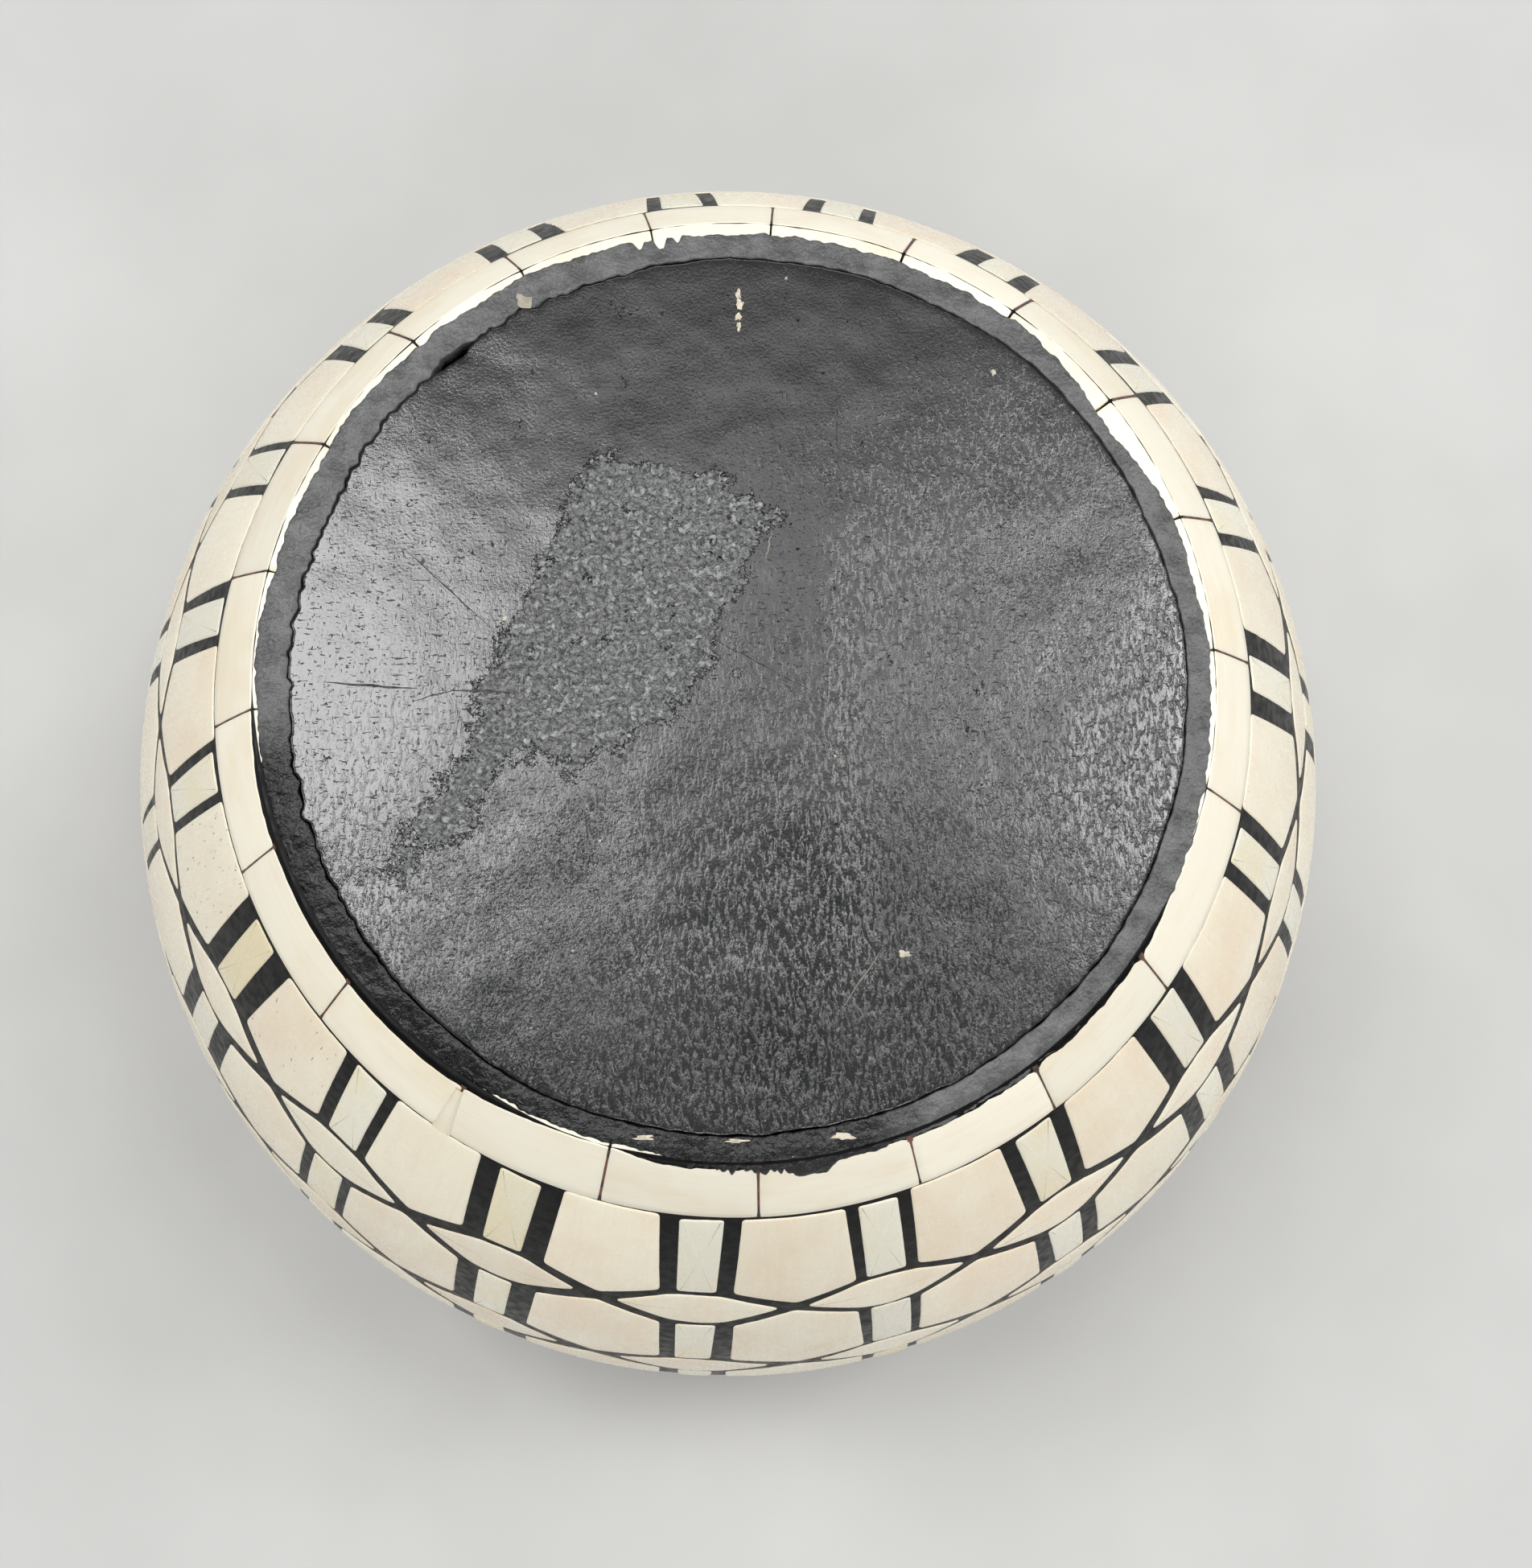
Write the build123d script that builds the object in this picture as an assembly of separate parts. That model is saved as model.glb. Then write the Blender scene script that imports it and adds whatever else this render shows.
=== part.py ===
"""Go stone bowl: a squat turned wooden bowl inlaid with bone, modelled standing on its mouth.

Frame: millimetres, +Z up, origin at the centre of the mouth plane, so that the flat base is on top.
Angles run anticlockwise from +X, seen from above the base.
"""
from build123d import *
import math
import os

os.makedirs("parts", exist_ok=True)

# ---- driving dimensions -------------------------------------------------------------------------
HEIGHT = 100.0              # mouth plane to base plane
JOINT_RADIUS = 50.0         # circle where the base band meets the first row of tiles
JOINT_Z = 93.6              # height of that circle
JOINT_LEAN = 37.0           # how far the outward normal is tipped up there, degrees
SHOULDER_RADIUS = 115.0     # arc of the wall from the base edge down the shoulder
SHOULDER_RUN = 45.25        # length of that arc, from the joint circle down
BELLY_RADIUS = 52.0         # arc of the wall from there round the belly to the mouth
SKIN = 1.5                  # thickness of the bone and of the filler between it

MOUTH_RADIUS = 45.0         # hollow at the mouth plane
HOLLOW_BELLY = (62.5, 41.0)      # widest point of the hollow: radius, height
HOLLOW_SHOULDER = (53.0, 75.0)   # where the hollow turns in towards its floor
HOLLOW_CORNER = (48.0, 83.5)     # on the curve into the floor
HOLLOW_FLOOR = (38.0, 88.0)      # where the flat floor of the hollow begins

DISC_RADIUS = 41.4          # flat disc let into the base
DISC_JOINT = 0.4            # open joint round it
DISC_THICKNESS = 3.0

BAND_JOINT = 0.25           # glue line between two band segments
BAND_GAP = 0.5              # filler between a band and the wide tiles
NARROW_WIDTH = 3.9          # narrow upright tiles
BAR = 1.8                   # black bar between a narrow and a wide tile
LINE = 0.9                  # black line between a tile and a diamond
SHOULDER_CUT = 3.3          # how far a wide tile's point stands beyond its shoulders
DIAMOND_HALF_WIDTH = 8.4
DIAMOND_HALF_HEIGHT = 3.7
NARROW_GAP = 0.7            # filler above and below a narrow tile
RIM_LIFT = 0.5              # the rim band stops this far above the mouth plane

# levels where the diamonds' tips meet, as arc length down the wall from the joint circle
NODES = [18.6, 40.0, 59.0, 77.3]
RIM_BAND_START = 95.9

# hand-cut tiles: centres of the wide ones, and joints of the base band, in degrees
WIDE_CENTRES = [12, 30, 49.5, 69, 87.5, 105.5, 125, 145, 163, 181,
                198.5, 219, 237, 257, 276, 294, 313, 333, 352]
BAND_JOINTS = [3, 20, 37, 53.5, 69, 86, 101, 118, 134, 151, 168,
               185, 201.5, 219.5, 237.5, 255.5, 272.5, 290, 306.5, 324.5, 346]

COLUMNS = len(WIDE_CENTRES)
PITCH = 2 * math.pi / COLUMNS


# ---- outline of the wall ------------------------------------------------------------------------
def on_circle(centre, radius, lean):
    return (centre[0] + radius * math.cos(lean), centre[1] + radius * math.sin(lean))


JOINT_ANGLE = math.radians(JOINT_LEAN)
BELLY_ANGLE = JOINT_ANGLE - SHOULDER_RUN / SHOULDER_RADIUS
SHOULDER_CENTRE = on_circle((JOINT_RADIUS, JOINT_Z), -SHOULDER_RADIUS, JOINT_ANGLE)
BELLY_START = on_circle(SHOULDER_CENTRE, SHOULDER_RADIUS, BELLY_ANGLE)
BELLY_CENTRE = on_circle(BELLY_START, -BELLY_RADIUS, BELLY_ANGLE)


def lean_at(run):
    """Tilt of the outward normal at an arc length down the wall from the joint circle."""
    if run < SHOULDER_RUN:
        return JOINT_ANGLE - run / SHOULDER_RADIUS
    return BELLY_ANGLE - (run - SHOULDER_RUN) / BELLY_RADIUS


def wall_point(run, depth=0.0):
    """Radius and height of the wall's surface, or of a layer at a depth below it."""
    if run < SHOULDER_RUN:
        return on_circle(SHOULDER_CENTRE, SHOULDER_RADIUS - depth, lean_at(run))
    return on_circle(BELLY_CENTRE, BELLY_RADIUS - depth, lean_at(run))


def run_at_height(z, depth=0.0):
    """Arc length at which the surface, or a layer below it, reaches a height."""
    if z > BELLY_START[1]:
        lean = math.asin((z - SHOULDER_CENTRE[1]) / (SHOULDER_RADIUS - depth))
        return (JOINT_ANGLE - lean) * SHOULDER_RADIUS
    lean = math.asin((z - BELLY_CENTRE[1]) / (BELLY_RADIUS - depth))
    return SHOULDER_RUN + (BELLY_ANGLE - lean) * BELLY_RADIUS


def wall_arcs(first, last, depth=0.0):
    """The outline between two arc lengths, in the XZ plane, as one or two arcs."""
    stops = [first, last]
    if first < SHOULDER_RUN < last:
        stops = [first, SHOULDER_RUN, last]
    arcs = []
    for start, end in zip(stops[:-1], stops[1:]):
        points = [wall_point(run, depth) for run in (start, (start + end) / 2, end)]
        arcs.append(ThreePointArc(*[(r, 0, z) for r, z in points]))
    return arcs


def chain(points):
    return Polyline(*[(r, 0, z) for r, z in points])


def section_face(edges):
    """Flat face inside a closed run of lines and arcs."""
    pieces = [edge for item in edges for edge in item.edges()]
    return Face(Wire.combine(pieces, tol=1e-5)[0])


def face_between(first_outer, last_outer, first_inner, last_inner, depth):
    """Section of a skin: outer arcs, inner arcs and the two short edges that close them."""
    outer = wall_arcs(first_outer, last_outer)
    inner = wall_arcs(first_inner, last_inner, depth)
    start = Line(outer[0] @ 0, inner[0] @ 0)
    end = Line(outer[-1] @ 1, inner[-1] @ 1)
    return section_face([*outer, end, *inner, start])


BASE_RUN = run_at_height(HEIGHT)
BASE_RUN_INNER = run_at_height(HEIGHT, SKIN)
RIM_RUN = run_at_height(RIM_LIFT)
RIM_RUN_INNER = run_at_height(RIM_LIFT, SKIN)
MOUTH_RUN_INNER = run_at_height(0.0, SKIN)


def skin_face(first=None, last=None):
    """Section of the skin, cut square to the wall at an arc length or level with base and rim."""
    outer = (BASE_RUN if first is None else first, RIM_RUN if last is None else last)
    inner = (BASE_RUN_INNER if first is None else first, RIM_RUN_INNER if last is None else last)
    return face_between(*outer, *inner, SKIN)


def ring_sector(face, start, end):
    """Turn a section about the bowl's axis from one angle to another, in degrees."""
    turned = Rot(0, 0, start) * face
    return revolve(turned, axis=Axis.Z, revolution_arc=end - start)


# ---- tiles --------------------------------------------------------------------------------------
def surface_place(angle, run):
    """Point on the wall and the plane that touches the wall there, angle in degrees."""
    radius, z = wall_point(run)
    turn = math.radians(angle)
    lean = lean_at(run)
    origin = (radius * math.cos(turn), radius * math.sin(turn), z)
    normal = (math.cos(lean) * math.cos(turn), math.cos(lean) * math.sin(turn), math.sin(lean))
    return Plane(origin=origin, x_dir=(-math.sin(turn), math.cos(turn), 0), z_dir=normal)


def tile_prism(centre, corners, reach=4.0):
    """Block with a tile's outline, square to the wall at the middle of the tile.

    Corners are (sideways, run): millimetres round the wall from the centre line, and down it.
    """
    runs = [run for _, run in corners]
    plane = surface_place(centre, (min(runs) + max(runs)) / 2)
    outline = []
    for sideways, run in corners:
        angle = centre + math.degrees(sideways / wall_point(run)[0])
        local = plane.to_local_coords(surface_place(angle, run).origin)
        outline.append((local.X, local.Y))
    face = plane * make_face(Polyline(*outline, close=True))
    return extrude(face, amount=reach, both=True)


def cut_tile(centre, corners, prism):
    """The part of the skin inside a prism."""
    widest = max(abs(sideways) / wall_point(run)[0] for sideways, run in corners)
    margin = math.degrees(widest) + 3.0
    runs = [run for _, run in corners]
    face = skin_face(min(runs) - 2.5, max(runs) + 2.5)
    tile = ring_sector(face, centre - margin, centre + margin) & prism
    return tile.solids()[0]


def half_wide(run):
    """Half the width of a wide tile, which fills what the narrow ones and the bars leave."""
    return PITCH * wall_point(run)[0] / 2 - NARROW_WIDTH / 2 - BAR


def wide_outline(top, bottom):
    """Corners of a wide tile. Each end is ("flat", run) or ("point", run of the tip)."""
    corners = []
    kind, run = top
    if kind == "flat":
        corners += [(-half_wide(run), run), (half_wide(run), run)]
    else:
        shoulder = run + SHOULDER_CUT
        corners += [(-half_wide(shoulder), shoulder), (0, run), (half_wide(shoulder), shoulder)]
    kind, run = bottom
    if kind == "flat":
        corners += [(half_wide(run), run), (-half_wide(run), run)]
    else:
        shoulder = run - SHOULDER_CUT
        corners += [(half_wide(shoulder), shoulder), (0, run), (-half_wide(shoulder), shoulder)]
    return corners


def narrow_outline(top, bottom):
    half = NARROW_WIDTH / 2
    return [(-half, top), (half, top), (half, bottom), (-half, bottom)]


def diamond_outline(node):
    """A lens with two sharp tips and a low crown above and below."""
    crown = 0.31 * DIAMOND_HALF_WIDTH
    shoulder = 0.9 * DIAMOND_HALF_HEIGHT
    upper = [(-DIAMOND_HALF_WIDTH, node), (-crown, node - shoulder),
             (0, node - DIAMOND_HALF_HEIGHT), (crown, node - shoulder)]
    lower = [(DIAMOND_HALF_WIDTH, node), (crown, node + shoulder),
             (0, node + DIAMOND_HALF_HEIGHT), (-crown, node + shoulder)]
    return upper + lower


def between(first, second):
    """Angle half way from one tile centre on to the next one round."""
    return first + ((second - first) % 360) / 2


NARROW_CENTRES = [between(WIDE_CENTRES[i], WIDE_CENTRES[(i + 1) % COLUMNS]) for i in range(COLUMNS)]

wide_rows = [
    wide_outline(("flat", BAND_GAP), ("point", NODES[0] - LINE)),
    wide_outline(("point", NODES[0] + LINE), ("point", NODES[1] - LINE)),
    wide_outline(("point", NODES[1] + LINE), ("point", NODES[2] - LINE)),
    wide_outline(("point", NODES[2] + LINE), ("point", NODES[3] - LINE)),
    wide_outline(("point", NODES[3] + LINE), ("flat", RIM_BAND_START - BAND_GAP)),
]
DIAMOND_CLEAR = DIAMOND_HALF_HEIGHT + NARROW_GAP
narrow_rows = [
    narrow_outline(NARROW_GAP, NODES[0] - DIAMOND_CLEAR),
    narrow_outline(NODES[0] + DIAMOND_CLEAR, NODES[1] - DIAMOND_CLEAR),
    narrow_outline(NODES[1] + DIAMOND_CLEAR, NODES[2] - DIAMOND_CLEAR),
    narrow_outline(NODES[2] + DIAMOND_CLEAR, NODES[3] - DIAMOND_CLEAR),
    narrow_outline(NODES[3] + DIAMOND_CLEAR, RIM_BAND_START - NARROW_GAP),
]

prisms = []


def make_row(centres, corners):
    """Cut one tile for each centre, and keep its prism for the pocket in the filler."""
    tiles = []
    for centre in centres:
        prism = tile_prism(centre, corners)
        prisms.append(prism)
        tiles.append(cut_tile(centre, corners, prism))
    return tiles


def write(name, solids):
    shape = solids[0] if len(solids) == 1 else Compound(children=solids)
    export_step(shape, f"parts/{name}.step")


# ---- wall body ----------------------------------------------------------------------------------
def wall_body():
    """Turned wooden wall: a seat for the skin outside, the hollow inside, a recess in the base."""
    seat = wall_arcs(BASE_RUN_INNER, MOUTH_RUN_INNER, SKIN)
    recess_radius = DISC_RADIUS + DISC_JOINT
    recess_floor = HEIGHT - DISC_THICKNESS
    seat_top = seat[0] @ 0
    seat_end = seat[-1] @ 1
    top = chain([(0, recess_floor), (recess_radius, recess_floor), (recess_radius, HEIGHT),
                 (seat_top.X, seat_top.Z)])
    lip = chain([(seat_end.X, seat_end.Z), (MOUTH_RADIUS, 0)])
    side = ThreePointArc(*[(r, 0, z) for r, z in ((MOUTH_RADIUS, 0), HOLLOW_BELLY, HOLLOW_SHOULDER)])
    corner = ThreePointArc(*[(r, 0, z) for r, z in (HOLLOW_SHOULDER, HOLLOW_CORNER, HOLLOW_FLOOR)])
    floor = chain([HOLLOW_FLOOR, (0, HOLLOW_FLOOR[1]), (0, recess_floor)])
    section = section_face([top, *seat, lip, side, corner, floor])
    return revolve(section, axis=Axis.Z).solids()[0]


write("wall_body", [wall_body()])

# ---- base disc ----------------------------------------------------------------------------------
base_disc = Cylinder(DISC_RADIUS, DISC_THICKNESS, align=(Align.CENTER, Align.CENTER, Align.MAX))
write("base_disc", [(Pos(0, 0, HEIGHT) * base_disc).solids()[0]])

# ---- base band and rim band: bent segments between two joints ------------------------------------
band_face = skin_face(None, 0.0)
rim_face = skin_face(RIM_BAND_START, None)
half_joint = math.degrees(BAND_JOINT / 2 / JOINT_RADIUS)
rim_segments = []
band_sectors = []
for index, joint in enumerate(BAND_JOINTS):
    following = BAND_JOINTS[(index + 1) % len(BAND_JOINTS)]
    start = joint + half_joint
    end = joint + (following - joint) % 360 - half_joint
    segment = ring_sector(band_face, start, end).solids()[0]
    rim_segment = ring_sector(rim_face, start, end).solids()[0]
    write(f"base_band_{index + 1:02d}", [segment])
    rim_segments.append(rim_segment)
    band_sectors += [segment, rim_segment]
write("rim_band", rim_segments)

# ---- rows of tiles ------------------------------------------------------------------------------
for row, corners in enumerate(wide_rows, start=1):
    tiles = make_row(WIDE_CENTRES, corners)
    if row == 1:
        for index, tile in enumerate(tiles, start=1):
            write(f"row_1_wide_{index:02d}", [tile])
    else:
        write(f"row_{row}_wide_tiles", tiles)

for row, corners in enumerate(narrow_rows, start=1):
    write(f"row_{row}_narrow_tiles", make_row(NARROW_CENTRES, corners))

for row, node in enumerate(NODES, start=1):
    write(f"diamond_row_{row}", make_row(NARROW_CENTRES, diamond_outline(node)))

# ---- filler: the skin with a pocket for every piece of bone --------------------------------------
filler = revolve(skin_face(), axis=Axis.Z).solids()[0]
filler = filler.cut(*prisms, *band_sectors)
write("filler", filler.solids())
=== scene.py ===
"""Go stone bowl standing on its mouth: hand-cut bone in black filler, painted wooden base."""

import math
import random

import bpy
from mathutils import Matrix, Vector, noise


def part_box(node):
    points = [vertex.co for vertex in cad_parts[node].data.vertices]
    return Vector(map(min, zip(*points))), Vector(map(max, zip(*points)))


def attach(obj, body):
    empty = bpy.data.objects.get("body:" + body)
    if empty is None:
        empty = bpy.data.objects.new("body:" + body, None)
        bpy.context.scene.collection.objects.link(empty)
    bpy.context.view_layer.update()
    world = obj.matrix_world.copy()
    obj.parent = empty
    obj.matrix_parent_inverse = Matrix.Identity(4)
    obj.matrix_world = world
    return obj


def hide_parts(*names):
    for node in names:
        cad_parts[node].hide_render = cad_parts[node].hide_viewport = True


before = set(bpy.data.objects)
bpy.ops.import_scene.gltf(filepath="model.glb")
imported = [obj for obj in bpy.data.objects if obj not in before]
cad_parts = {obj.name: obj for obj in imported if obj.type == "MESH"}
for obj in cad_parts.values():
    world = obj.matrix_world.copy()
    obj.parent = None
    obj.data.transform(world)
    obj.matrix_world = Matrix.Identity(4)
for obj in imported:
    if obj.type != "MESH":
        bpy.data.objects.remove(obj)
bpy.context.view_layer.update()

# ---- sizes, in millimetres, in the frame of the CAD model ----------------------------------------
MM = 0.001
BASE_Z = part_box("base_disc")[1][2] / MM
RIM_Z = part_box("filler")[0][2] / MM

JOINT_RADIUS = 50.0             # circle where the base band meets the first row of tiles
JOINT_Z = 93.6
JOINT_ANGLE = math.radians(37.0)
SHOULDER_RADIUS = 115.0
SHOULDER_RUN = 45.25
BELLY_RADIUS = 52.0
SKIN = 1.5

NODES = [18.6, 40.0, 59.0, 77.3]        # where the diamonds' tips meet, down the wall
RIM_BAND_START = 95.9
NARROW_WIDTH = 3.9
BAR = 1.75                      # filler between a wide and a narrow tile
LINE = 0.95                     # from a node to the tip of a wide tile
SHOULDER_CUT = 3.3
DIAMOND_HALF_WIDTH = 8.4
DIAMOND_HALF_HEIGHT = 3.7
BONE_ROOT = -0.8                # how deep the bone's sides reach, but for the rim band's lower one
FILLER_DROP = 0.09              # how far the filler lies below the bone
GLUE_DROP = 0.07

# Angles in degrees round the bowl: the middles of the wide tiles, their widths in row 1 as seen at
# the joint circle, and the joints of the bands.
WIDE_CENTRES = [12, 30, 49.5, 69, 87.5, 105.5, 125, 145, 163, 181,
                198.5, 219, 237, 257, 276, 294, 313, 333, 352]
WIDE_WIDTHS = [10.0, 11.6, 10.7, 10.8, 9.9, 9.8, 10.7, 11.7, 10.3, 10.8,
               11.2, 10.4, 10.5, 10.4, 11.1, 11.1, 10.9, 11.4, 11.1]
BAND_JOINTS = [3, 20, 37, 53.5, 69, 86, 101, 118, 134, 151, 168,
               185, 201.5, 219.5, 237.5, 255.5, 272.5, 290, 306.5, 324.5, 346]
SLIVER_JOINT = 237.5
COLUMNS = len(WIDE_CENTRES)
PITCH = 2 * math.pi / COLUMNS

CRACK_CENTRE = (0.3, -0.7)      # the joint round the base disc isn't quite central
CRACK_RADIUS = 41.7
CRACK_DEPTH = 1.4
BONE_INNER_RADIUS = 42.6        # where the base band ends under the paint


# ---- outline of the wall ------------------------------------------------------------------------
def on_circle(centre, radius, lean):
    return (centre[0] + radius * math.cos(lean), centre[1] + radius * math.sin(lean))


BELLY_ANGLE = JOINT_ANGLE - SHOULDER_RUN / SHOULDER_RADIUS
SHOULDER_CENTRE = on_circle((JOINT_RADIUS, JOINT_Z), -SHOULDER_RADIUS, JOINT_ANGLE)
BELLY_START = on_circle(SHOULDER_CENTRE, SHOULDER_RADIUS, BELLY_ANGLE)
BELLY_CENTRE = on_circle(BELLY_START, -BELLY_RADIUS, BELLY_ANGLE)


def wall_point(run, lift=0.0):
    """Radius and height of the wall at an arc length down from the joint circle."""
    if run < SHOULDER_RUN:
        lean = JOINT_ANGLE - run / SHOULDER_RADIUS
        return on_circle(SHOULDER_CENTRE, SHOULDER_RADIUS + lift, lean)
    lean = BELLY_ANGLE - (run - SHOULDER_RUN) / BELLY_RADIUS
    return on_circle(BELLY_CENTRE, BELLY_RADIUS + lift, lean)


def run_at_height(z):
    """Arc length at which the wall reaches a height."""
    if z > BELLY_START[1]:
        return (JOINT_ANGLE - math.asin((z - SHOULDER_CENTRE[1]) / SHOULDER_RADIUS)) * SHOULDER_RADIUS
    lean = math.asin((z - BELLY_CENTRE[1]) / BELLY_RADIUS)
    return SHOULDER_RUN + (BELLY_ANGLE - lean) * BELLY_RADIUS


BASE_RUN = run_at_height(BASE_Z)
RIM_RUN = run_at_height(RIM_Z)


def turned(radius, z, angle):
    """A point of the outline turned to an angle in radians, in metres."""
    return Vector((radius * math.cos(angle), radius * math.sin(angle), z)) * MM


def ripple(angle, waves, seed):
    """Smooth noise round the bowl, from -1 to 1, with about so many waves in a turn."""
    reach = waves / (2 * math.pi)
    return noise.noise(Vector((math.cos(angle) * reach, math.sin(angle) * reach, seed * 7.31)))


def sector(angle, first, last, soft=6.0):
    """1 between two angles in degrees, easing to 0 over a few degrees outside them."""
    degrees = math.degrees(angle) % 360
    middle = (first + last) / 2
    away = abs((degrees - middle + 180) % 360 - 180) - (last - first) / 2
    return min(1.0, max(0.0, 1.0 - away / soft))


# ---- mesh building ------------------------------------------------------------------------------
class Builder:
    """Collects the vertices and faces of one piece, with two sets of values per vertex.

    grain is the place along and across a piece of bone, about in millimetres. marks holds four
    numbers for the material: warmth, shade, pores and seed on bone; crust, painted shade and
    coarseness on paint; and paleness, as the third of them, on scratches and chips.
    """

    def __init__(self):
        self.points = []
        self.faces = []
        self.grain = []
        self.marks = []

    def add(self, point, grain=(0.0, 0.0), marks=(0.5, 1.0, 0.0, 0.0)):
        self.points.append(point)
        self.grain.append(grain)
        self.marks.append(marks)
        return len(self.points) - 1

    def strip(self, first, second, closed=False):
        """Quads between two rows of vertices of the same length."""
        count = len(first)
        for i in range(count if closed else count - 1):
            j = (i + 1) % count
            self.faces.append((first[i], first[j], second[j], second[i]))

    def fan(self, ring, centre):
        count = len(ring)
        for i in range(count):
            self.faces.append((ring[i], ring[(i + 1) % count], centre))

    def build(self, name, material, nodes):
        """Make the object, stand it in for its CAD nodes and let it ride on the bowl."""
        mesh = bpy.data.meshes.new(name)
        mesh.from_pydata(self.points, [], self.faces)
        layer = mesh.uv_layers.new(name="grain")
        for loop in mesh.loops:
            layer.data[loop.index].uv = self.grain[loop.vertex_index]
        attribute = mesh.attributes.new("marks", "FLOAT_COLOR", "POINT")
        for item, values in zip(attribute.data, self.marks):
            item.color = values
        mesh.polygons.foreach_set("use_smooth", [True] * len(mesh.polygons))
        mesh.validate()
        piece = bpy.data.objects.new(name, mesh)
        bpy.context.collection.objects.link(piece)
        mesh.materials.append(material)
        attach(piece, "root")
        if nodes:
            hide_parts(*nodes)
        return piece


# ---- node materials -----------------------------------------------------------------------------
class Shader:
    """A principled material with short helpers for its nodes."""

    def __init__(self, name):
        self.material = bpy.data.materials.new(name)
        self.material.use_nodes = True
        self.tree = self.material.node_tree
        self.main = self.tree.nodes["Principled BSDF"]

    def node(self, kind, **settings):
        made = self.tree.nodes.new(kind)
        for key, value in settings.items():
            setattr(made, key, value)
        return made

    def link(self, source, target):
        self.tree.links.new(source, target)

    def feed(self, socket, value):
        if hasattr(value, "is_output"):
            self.link(value, socket)
        else:
            socket.default_value = value

    def mapped(self, source, scale, offset=(0, 0, 0), turn=0.0):
        made = self.node("ShaderNodeMapping")
        self.link(source, made.inputs["Vector"])
        made.inputs["Scale"].default_value = scale
        made.inputs["Location"].default_value = offset
        made.inputs["Rotation"].default_value = (0, 0, turn)
        return made.outputs["Vector"]

    def noise(self, vector, scale, detail=3.0, rough=0.55, distortion=0.0):
        made = self.node("ShaderNodeTexNoise")
        self.link(vector, made.inputs["Vector"])
        made.inputs["Scale"].default_value = scale
        made.inputs["Detail"].default_value = detail
        made.inputs["Roughness"].default_value = rough
        made.inputs["Distortion"].default_value = distortion
        return made.outputs["Fac"]

    def span(self, value, low, high, out_low=0.0, out_high=1.0):
        made = self.node("ShaderNodeMapRange", interpolation_type="SMOOTHSTEP")
        self.link(value, made.inputs["Value"])
        made.inputs["From Min"].default_value = low
        made.inputs["From Max"].default_value = high
        made.inputs["To Min"].default_value = out_low
        made.inputs["To Max"].default_value = out_high
        return made.outputs["Result"]

    def maths(self, operation, first, second=0.0):
        made = self.node("ShaderNodeMath", operation=operation)
        self.feed(made.inputs[0], first)
        self.feed(made.inputs[1], second)
        return made.outputs[0]

    def mix(self, factor, first, second):
        made = self.node("ShaderNodeMix", data_type="RGBA")
        self.feed(made.inputs["Factor"], factor)
        self.feed(made.inputs[6], first)
        self.feed(made.inputs[7], second)
        return made.outputs[2]

    def bump(self, height, distance, strength=1.0, under=None):
        made = self.node("ShaderNodeBump")
        self.link(height, made.inputs["Height"])
        made.inputs["Distance"].default_value = distance * MM
        made.inputs["Strength"].default_value = strength
        if under is not None:
            self.link(under, made.inputs["Normal"])
        return made.outputs["Normal"]

    def place(self):
        """Position on the object, in millimetres."""
        coords = self.node("ShaderNodeTexCoord")
        return self.mapped(coords.outputs["Object"], (1 / MM, 1 / MM, 1 / MM))

    def marks(self):
        """The four numbers that the builder stored as marks."""
        made = self.node("ShaderNodeAttribute", attribute_name="marks")
        parts = self.node("ShaderNodeSeparateColor")
        self.link(made.outputs["Color"], parts.inputs["Color"])
        return parts.outputs[0], parts.outputs[1], parts.outputs[2], made.outputs["Alpha"]

    def finish(self, color, roughness, normal=None):
        self.link(color, self.main.inputs["Base Color"])
        self.feed(self.main.inputs["Roughness"], roughness)
        if normal is not None:
            self.link(normal, self.main.inputs["Normal"])
        return self.material


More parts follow.
